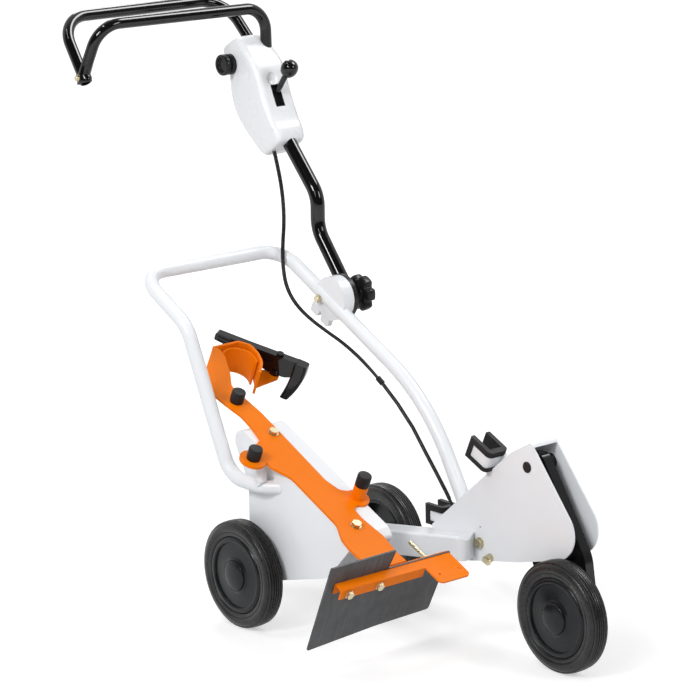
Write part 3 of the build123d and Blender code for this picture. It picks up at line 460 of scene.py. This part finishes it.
loop_corners = [(76, -127.7, 270), (44, -153.5, 270), (-50, -153.5, 270), (-126, -184.5, 543),
                (-258, -187.5, 618), (-258, 139.5, 618), (161, 139.5, 401), (268, 139.5, 216)]
loop_line = bent_line(loop_corners, [30, 50, 60, 50, 50, 390])
loop_mesh = tube_mesh("loop_tube_bent", loop_line, LOOP_R / 1000, 40)
carried("loop_tube_bent", loop_mesh, "frame", white_coat, ["loop_tube"])

# ---- Front arm
# A black channel pressed from one sheet, pivoting on a pin through the housing,
# carries the front wheel's stub. It is powder coated gloss black.
black_coat = finish_of("black_powder_coat", (0.008, 0.008, 0.009), (0.005, 0.005, 0.006),
                       rough=(0.1, 0.17), grain=500, depth=0.00005, patch=12.0, shine=0.3)
dressed("front_arm", black_coat, 1.2)

# ---- Orange saw plate, hook and flap bar
# The saw's plate is laser cut and bent, then powder coated orange, and its rear end is rolled into
# a hook. The jaw in the hook, one buffer's riser and the flap's bar and strip have the same coat.
orange_coat = finish_of("orange_powder_coat", (0.90, 0.205, 0.0012), (0.85, 0.182, 0.0012),
                        rough=(0.3, 0.42), grain=420, depth=0.00005, patch=7.0, shine=0.1)
for node in ("saw_plate", "buffer_riser", "flap_bar", "flap_backing_strip", "clamp_jaw"):
    dressed(node, orange_coat, 0.5)

# ---- Black moulded and rubber pieces
# Spacers, bushes, the hinge's disc and the pins' covers are injection moulded in black
# nylon. The edging of the two U brackets is extruded rubber pushed over the sheet.
black_mould = finish_of("black_moulding", (0.016, 0.016, 0.017), (0.009, 0.009, 0.010),
                        rough=(0.22, 0.34), grain=1500, depth=0.00008, shine=0.2)
soft_rubber = finish_of("soft_rubber", (0.018, 0.018, 0.019), (0.010, 0.010, 0.011),
                        rough=(0.42, 0.6), grain=1100, depth=0.0001, shine=0.2)
for node in ("pivot_pin", "axle_spacers", "pivot_bushes", "front_axle_spacer", "hinge_disc",
             "star_knob", "throttle_lever", "side_knob", "lever_pin"):
    dressed(node, black_mould, 0.4)
for node in ("saddle_upper_edging", "saddle_lower_edging"):
    dressed(node, soft_rubber, 0.8)

# ---- Rubber buffers
# Turned rubber feet, moulded on a threaded stud, take the saw's weight. Their rims
# are broken by a small chamfer and their tops are a little dished.
buffer_profile = [(0.01, 23.0), (7, 23.1), (10.2, 23.9), (11.2, 24.0), (12.4, 23.2), (12.9, 22.0),
                  (13.0, 19.5), (13.15, 12), (13.0, 4), (12.6, 1.6), (12.2, 0.2), (11.6, 0.0),
                  (0.01, 0.0)]
PLATE_SLOPE = math.radians(25)
PLATE_TOP_Z = 351.5


def incline(s, y, n):
    """Point along, across and above the saw plate's inclined top."""
    c, d = math.cos(PLATE_SLOPE), math.sin(PLATE_SLOPE)
    return at(s * c + n * d, y, PLATE_TOP_Z - s * d + n * c)


UPRIGHT = Matrix.Rotation(PLATE_SLOPE, 4, "Y") @ Matrix.Rotation(math.radians(90), 4, "X")
# Along the slope, across it, and above the plate.
BUFFER_PLACES = ((-100, -104, 0), (55, -177, 0), (212, -54, 27))
for number, (s, y, base) in enumerate(BUFFER_PLACES, start=1):
    mesh = turned(f"buffer_{number}_turned", buffer_profile, Vector(), -1, 72, False)
    mesh.transform(Matrix.Translation(incline(s, y, base)) @ UPRIGHT)
    carried(f"buffer_{number}_turned", mesh, "frame", soft_rubber, [f"buffer_{number}"])

# ---- Splash flap
# A flat sheet of fabric-backed rubber, cut with a knife and bolted behind the bar.
# Its faces show fine streaks down the sheet from the roller. The light end of the streaks and the
# broad lighter patches in its colour are painted sheen.
flap_rubber, tree, surface, where = shader("flap_rubber")
level_out = tree.nodes.new("ShaderNodeMapping")
level_out.inputs["Rotation"].default_value = (0, -PLATE_SLOPE, 0)
tree.links.new(where, level_out.inputs["Vector"])
stretch = tree.nodes.new("ShaderNodeMapping")
stretch.inputs["Scale"].default_value = (1.0, 1.0, 0.055)
tree.links.new(level_out.outputs[0], stretch.inputs["Vector"])
streaks = noise_at(tree, stretch.outputs[0], 420, 5.0, 0.6)
# Broad patches that lighten the streaks here and there are painted sheen.
sheen_patches = noise_at(tree, where, 22, 3.0)
both = tree.nodes.new("ShaderNodeMath")
both.operation = "MULTIPLY"
tree.links.new(spread(tree, streaks, 0.25, 1.0), both.inputs[0])
tree.links.new(spread(tree, sheen_patches, 0.5, 1.0), both.inputs[1])
# Colour runs from dark rubber up to a light grey. The light grey is painted sheen, and the streaks
# themselves are real roller marks.
roller_streaks_and_sheen = blend_colour(tree, both.outputs[0], (0.005, 0.0055, 0.0065), (0.120, 0.127, 0.134))
tree.links.new(roller_streaks_and_sheen, surface.inputs["Base Color"])
tree.links.new(spread(tree, streaks, 0.42, 0.66), surface.inputs["Roughness"])
relief(tree, surface, streaks, 0.00015)
dressed("rubber_flap", flap_rubber, 0.4)

# ---- Plated bolts and pins
# Bolts, axles and studs are cold headed or turned steel, zinc plated and passivated
# yellow. The plating varies a little in tone.
zinc = finish_of("yellow_zinc", (0.66, 0.59, 0.385), (0.57, 0.52, 0.38), rough=(0.25, 0.34),
                 grain=700, depth=0.00002, patch=22.0, metal=1.0)
for node in ("rear_axle", "plate_bolts", "flap_bolts", "stay_bolt", "hinge_stud", "housing_bolts",
             "cable_ferrule", "front_axle", "handlebar_bolt", "throttle_pin", "jaw_bolt"):
    dressed(node, zinc, 0.3)

# ---- Push handle
# The column and the two bars are steel tube, bent and coated gloss black, and meet
# inside the console. The saw clamp's lever is cast and has the same coat.
gloss_black = finish_of("gloss_black_coat", (0.0045, 0.0045, 0.005), (0.003, 0.003, 0.0035),
                        rough=(0.072, 0.086), grain=380, depth=0.00001, patch=10.0, shine=0.4)
COLUMN_R = 14
BAR_R = 11
BAR_WALL = 2
column = [(-108, 180, 553), (-193, 180, 660), (-192, 180, 725), (-284, 180, 828)]
rear_bar = [(-405, 203, 985), (-495, 203, 1069), (-495, -182, 1069), (-408, -190, 958)]
front_bar = [(-366, 203, 962), (-368, 203, 1064), (-378, -175, 1066), (-417, -189, 969)]
dressed("clamp_lever", gloss_black, 1.4, 40)
for node, points, bends, radius, wall in (("handle_column", column, [62, 58], COLUMN_R, 0),
                                          ("handlebar_rear", rear_bar, [60, 60], BAR_R, BAR_WALL),
                                          ("handlebar_front", front_bar, [45, 50], BAR_R, 0)):
    line = bent_line(points, bends)
    mesh = tube_mesh(node + "_bent", line, radius / 1000, 36, wall / 1000, not wall)
    carried(node + "_bent", mesh, "push_handle", gloss_black, [node])
dressed("handle_spine", gloss_black, 0.4)

# ---- Console
# Two moulded shells in satin white close over the place where the tubes meet, and are
# screwed together from the left. The front has a slot for the control lever, and its
# right corner is a long soft ridge.
CONSOLE_Y = 180.0
# Back x and z; front x and z; half width; corner radii at the front and the back.
CONSOLE_STATIONS = [
    ((-428, 992), (-400, 1010), 22, 9, 8), ((-437, 984), (-386, 1010), 31, 14, 12),
    ((-434, 974), (-372, 1003), 36, 15, 14), ((-420, 961), (-352, 984), 38, 13, 12),
    ((-413, 944), (-330, 966), 38, 12, 12), ((-410, 922), (-317, 938), 38, 12, 12),
    ((-408, 896), (-307, 908), 38, 12, 12), ((-400, 868), (-292, 878), 37.5, 12, 12),
    ((-378, 842), (-277, 851), 37, 12, 12), ((-352, 817), (-272, 850), 36, 12, 12),
    ((-331, 798), (-263, 831), 34.5, 12, 12), ((-318, 790), (-264, 822), 33, 12, 12),
    ((-308, 788), (-271, 813), 28, 11, 10)]


def console_ring(back_point, front_point, half, front_r, back_r, per_corner=6):
    """Rounded rectangle across the console, from its back edge to its front edge."""
    b = Vector((back_point[0], 0, back_point[1]))
    f = Vector((front_point[0], 0, front_point[1]))
    way, depth = (f - b).normalized(), (f - b).length
    ring = []
    for centre_u, centre_y, r, start in ((depth - front_r, -half + front_r, front_r, -90),
                                         (depth - front_r, half - front_r, front_r, 0),
                                         (back_r, half - back_r, back_r, 90),
                                         (back_r, -half + back_r, back_r, 180)):
        for k in range(per_corner):
            angle = math.radians(start + 90 * k / (per_corner - 1))
            point = b + way * (centre_u + r * math.cos(angle))
            ring.append(at(point.x, CONSOLE_Y + centre_y + r * math.sin(angle), point.z))
    return ring


def lofted(name, rings, smooth=180):
    """Skin over closed rings of equal count, with flat ends."""
    count = len(rings[0])
    faces = skin_faces(len(rings), count) + end_faces(len(rings), count)
    mesh = bpy.data.meshes.new(name)
    mesh.from_pydata([tuple(v) for ring in rings for v in ring], [], faces)
    clean_normals(mesh)
    mesh.shade_smooth()
    if smooth < 180:
        mesh.set_sharp_from_angle(angle=math.radians(smooth))
    return mesh


def box_mesh(name, centre, size, tilt=0.0):
    """Block about a point in millimetres, tilted about the lateral axis."""
    mesh = bpy.data.meshes.new(name)
    work = bmesh.new()
    bmesh.ops.create_cube(work, size=1)
    place = Matrix.Translation(at(*centre)) @ Matrix.Rotation(math.radians(tilt), 4, "Y")
    work.transform(place @ Matrix.Diagonal((size[0] / 1000, size[1] / 1000, size[2] / 1000, 1)))
    work.to_mesh(mesh)
    work.free()
    return mesh


def apply_modifiers(piece):
    """The piece's mesh with its modifiers made part of it."""
    bpy.context.view_layer.update()
    evaluated = piece.evaluated_get(bpy.context.evaluated_depsgraph_get())
    baked = bpy.data.meshes.new_from_object(evaluated)
    piece.modifiers.clear()
    piece.data = baked


def cut_with(piece, cutter_mesh, way="DIFFERENCE"):
    """Boolean cut, applied at once."""
    cutter = bpy.data.objects.new("cutter", cutter_mesh)
    bpy.context.collection.objects.link(cutter)
    cut = piece.modifiers.new("cut", "BOOLEAN")
    cut.operation, cut.object, cut.solver = way, cutter, "EXACT"
    apply_modifiers(piece)
    bpy.data.objects.remove(cutter)


white_mould = finish_of("white_moulding", (0.84, 0.85, 0.87), (0.81, 0.825, 0.85),
                        rough=(0.24, 0.34), grain=900, depth=0.00003, patch=6.0)
SLOT_TILT = -24
SLOT_PLACE = (-303.8, 179, 903.8)
DIMPLE_PLACE = (-308, 176, 938)
DIMPLE_R = 16
skin = lofted("console_shells", [console_ring(*station) for station in CONSOLE_STATIONS])
console = carried("console_shells", skin, "push_handle", white_mould,
                  ["console_right_shell", "console_left_shell"])
rounded = console.modifiers.new("rounded", "SUBSURF")
rounded.levels = rounded.render_levels = 2
apply_modifiers(console)
shell = console.data.copy()
cut_with(console, box_mesh("slot_cut", SLOT_PLACE, (30, 21.5, 44), SLOT_TILT))
dimple = bpy.data.meshes.new("dimple")
work = bmesh.new()
hollow = Matrix.Translation(at(*DIMPLE_PLACE))
bmesh.ops.create_icosphere(work, subdivisions=4, radius=DIMPLE_R / 1000, matrix=hollow)
work.to_mesh(dimple)
work.free()
cut_with(console, dimple)
console.data.shade_smooth()
console.data.set_sharp_from_angle(angle=math.radians(45))
liner_block = box_mesh("slot_liner", SLOT_PLACE, (29.8, 21.3, 43.8), SLOT_TILT)
liner = carried("slot_liner", liner_block, "push_handle", black_mould)
cut_with(liner, shell, "INTERSECT")
cut_with(liner, box_mesh("slot_room", (-300.1, 179, 905), (30, 18.9, 41.6), SLOT_TILT))

# ---- Controls on the console
# A ball lever swings in the slot, and a spool-shaped knob turns on the right side.
# Both are moulded black plastic.
ball_profile = [(0.0112, 19.04), (5.6, 18.368), (10.64, 15.904), (14.56, 11.2), (16.352, 5.04),
                (16.352, -1.12), (14.784, -7.28), (11.424, -12.32), (8.064, -15.68), (6.496, -16.5),
                (5.824, -20), (5.6, -60), (0.0112, -60)]
LEVER_PIVOT = Vector((-331, 180, 881))
BALL_CENTRE = Vector((-269, 180, 957))
swing = (BALL_CENTRE - LEVER_PIVOT).to_track_quat("Y", "Z").to_matrix().to_4x4()
ball = turned("control_lever_ball", ball_profile, Vector(), -1, 64, False)
ball.transform(Matrix.Translation(at(*BALL_CENTRE)) @ swing)
carried("control_lever_ball", ball, "throttle_lever_body", gloss_black, ["throttle_lever"])
spool_profile = [(0.01, -19.2), (8, -19), (12.4, -18.6), (13.4, -19.4), (14.4, -23.2),
                 (17.6, -23.5), (19.9, -22.2), (20.5, -20.6), (20.5, -15.2), (19.4, -14.2),
                 (16.4, -13.2), (15.6, -12.2), (15.6, -10.4), (16.6, -9.4), (19.2, -8.6),
                 (20, -7.4), (20, -1.4), (19.2, -0.5), (5, -0.3)]
spool = turned("side_knob_spool", spool_profile, at(-400, 142, 958), -1, 96, False)
carried("side_knob_spool", spool, "side_knob_body", black_mould, ["side_knob"])

# ---- Star knob
# Six-lobed moulded knob with deep flutes and a thick outer rim. It presses the hinge
# discs together.
KNOB_CENTRE = (-103, 547)
FLUTE_DEPTH = 7.488
FLUTE_PITCH = 60
FLUTE_HALF = 15.5
# Distance from mid track; radius; share of the flutes' depth.
knob_levels = [(194.4, 16.965, 0), (197.64, 17.55, 0), (198.09, 28.665, 0.5),
               (199.44, 32.526, 0.85), (201.96, 34.632, 1), (207.54, 35.1, 1), (213.48, 34.632, 1),
               (216.18, 32.994, 0.9), (217.44, 30.186, 0.7), (217.62, 26.91, 0.45),
               (216.72, 23.985, 0.2), (215.64, 21.06, 0), (215.46, 10.53, 0), (216.18, 8.19, 0),
               (216.18, 0.0117, 0)]
rings = []
for y, r, flute in knob_levels:
    ring = []
    for k in range(144):
        angle = 2 * math.pi * k / 144
        away = abs(math.degrees(angle) % FLUTE_PITCH - FLUTE_PITCH / 2) / FLUTE_HALF
        dip = FLUTE_DEPTH * flute * (math.cos(math.pi * min(away, 1)) / 2 + 0.5) ** 0.8
        ring.append(at(KNOB_CENTRE[0] + (r - dip) * math.cos(angle), y,
                       KNOB_CENTRE[1] + (r - dip) * math.sin(angle)))
    rings.append(ring)
knob = lofted("star_knob_lobes", rings, 34)
carried("star_knob_lobes", knob, "star_knob_body", black_mould, ["star_knob"])

# ---- Handlebar end sleeve
# A short oval sleeve pressed over the right ends of both bars holds them side by
# side. It is open below, with a plated screw through its outer side.
RING_LEAN = 0.28
# Centre; radius along the bars' plane and across it.
SLEEVE_STATIONS = [
    (-408.5, -186.2, 989, 10.6, 10.6), (-408.5, -186.2, 989, 12.4, 12.3),
    (-409.2, -186.5, 987.5, 12.9, 12.7), (-415.5, -188.4, 971, 13.0, 12.8),
    (-413.5, -188.8, 965.5, 16.0, 12.8), (-413, -189.3, 958, 17.0, 12.8),
    (-413, -189.4, 956.6, 16.4, 12.2), (-413, -189.4, 957.2, 15.4, 11.2),
    (-413, -189.2, 968, 13.5, 10.6)]
rings = []
for x, y, z, long_r, short_r in SLEEVE_STATIONS:
    ring = []
    for k in range(48):
        t = 2 * math.pi * k / 48
        reach = long_r * math.cos(t)
        ring.append(at(x + reach, y + short_r * math.sin(t), z + RING_LEAN * reach))
    rings.append(ring)
sleeve = lofted("bar_end_sleeve", rings, 40)
carried("bar_end_sleeve", sleeve, "push_handle", gloss_black)

# ---- Cable guard and tie
# Below the tie both cables run in one thicker sleeve, down to the ferrule on the
# housing. The tie is a short shrunk band.
guard_line = [at(*point) for point in CABLE_ROUTE[TIE_INDEX:-1]] + [at(241.5, 120.1, 234)]
guard = tube_mesh("cable_guard", guard_line, 0.0035, 24)
carried("cable_guard", guard, "frame", cable_sleeve)
tie_line = [at(57, 111.6, 427), at(60, 111.8, 425), at(66, 112, 421), at(69, 112.4, 419)]
tie = tube_mesh("cable_tie", tie_line, 0.0054, 24)
carried("cable_tie", tie, "frame", black_mould)

# ---- Small plated hardware
# Yellow-plated hexagon heads over washers hold the hinge, and a folded clip nut sits
# under the housing's edge.
def hex_head(name, across, height, place, way, body, washer=0.64):
    """Hexagon head with a turned top over a washer, standing on a surface."""
    rings = []
    seat, top = 1.5, 1.5 + height
    steps = [(0.02, 0, 0), (washer, 0, 0), (washer, 1.3, 0), (0.5, seat, 0), (0.5, seat, 1),
             (0.5, seat + height * 0.82, 1), (0.475, top, 0), (0.02, top, 0)]
    for share, z, faceted in steps:
        r = share * across
        ring = []
        for k in range(48):
            t = 2 * math.pi * k / 48
            off_flat = (t + math.pi / 6) % (math.pi / 3) - math.pi / 6
            reach = r / math.cos(off_flat) if faceted else r
            ring.append(Vector((reach * math.cos(t), reach * math.sin(t), z)) / 1000)
        rings.append(ring)
    mesh = lofted(name, rings, 30)
    facing = Vector(way).to_track_quat("Z", "Y").to_matrix().to_4x4()
    mesh.transform(Matrix.Translation(place) @ facing)
    carried(name, mesh, body, zinc)


hex_head("hinge_bolt_head", 12, 6, at(-127, 124.6, 545), (0, -1, 0), "frame")
hex_head("bar_end_screw", 9, 4, at(-414, -202.6, 967), (0, -1, 0.05), "push_handle", 0.6)
pin_profile = [(0.01, 0), (4.2, 0), (4.2, -13), (3.6, -14), (3.5, -19), (2.6, -20), (0.01, -20)]
mesh = turned("hinge_stop_pin", pin_profile, at(-93, 176, 520), -1, 40, False)
carried("hinge_stop_pin", mesh, "frame", white_coat)
clip = carried("clip_nut", box_mesh("clip_nut", (356, 105.5, 147), (17, 9, 11), 18), "frame", zinc)
edge = clip.modifiers.new("edge", "BEVEL")
edge.width, edge.segments = 0.0016, 2

# ---- Weld beads
# The tube ends and the post are welded all round before painting. Each bead is a
# slightly uneven ripple.
def weld(name, line, radius):
    """Rippled bead along a line of points in metres."""
    spacing, sides = 0.0012, 12
    fine = []
    for a, b in zip(line, line[1:]):
        count = max(2, int((b - a).length / spacing))
        fine += [a.lerp(b, k / count) for k in range(count)]
    mesh = tube_mesh(name, fine + [line[-1]], radius / 1000, sides)
    for index, vertex in enumerate(mesh.vertices):
        ring = index // sides
        middle = fine[min(ring, len(fine) - 1)]
        ripple = 1 + 0.16 * math.sin(2.1 * ring) + 0.08 * math.sin(0.37 * ring)
        vertex.co = middle + (vertex.co - middle) * ripple
    carried(name, mesh, "frame", white_coat)


def ring_line(centre, first, second, count=48):
    """Closed oval line about a centre, from its two half axes."""
    return [at(*(Vector(centre) + Vector(first) * math.cos(t) + Vector(second) * math.sin(t)))
            for t in (2 * math.pi * k / count for k in range(count + 1))]


weld("loop_end_weld", ring_line((60.5, -140.6, 270), (21.0, 0, 0), (0, 0, 13.5)), 0.9)
weld("post_weld", ring_line((46, -156.5, 283.4), (10.4, 0, 0), (0, 10.4, 0)), 1.6)
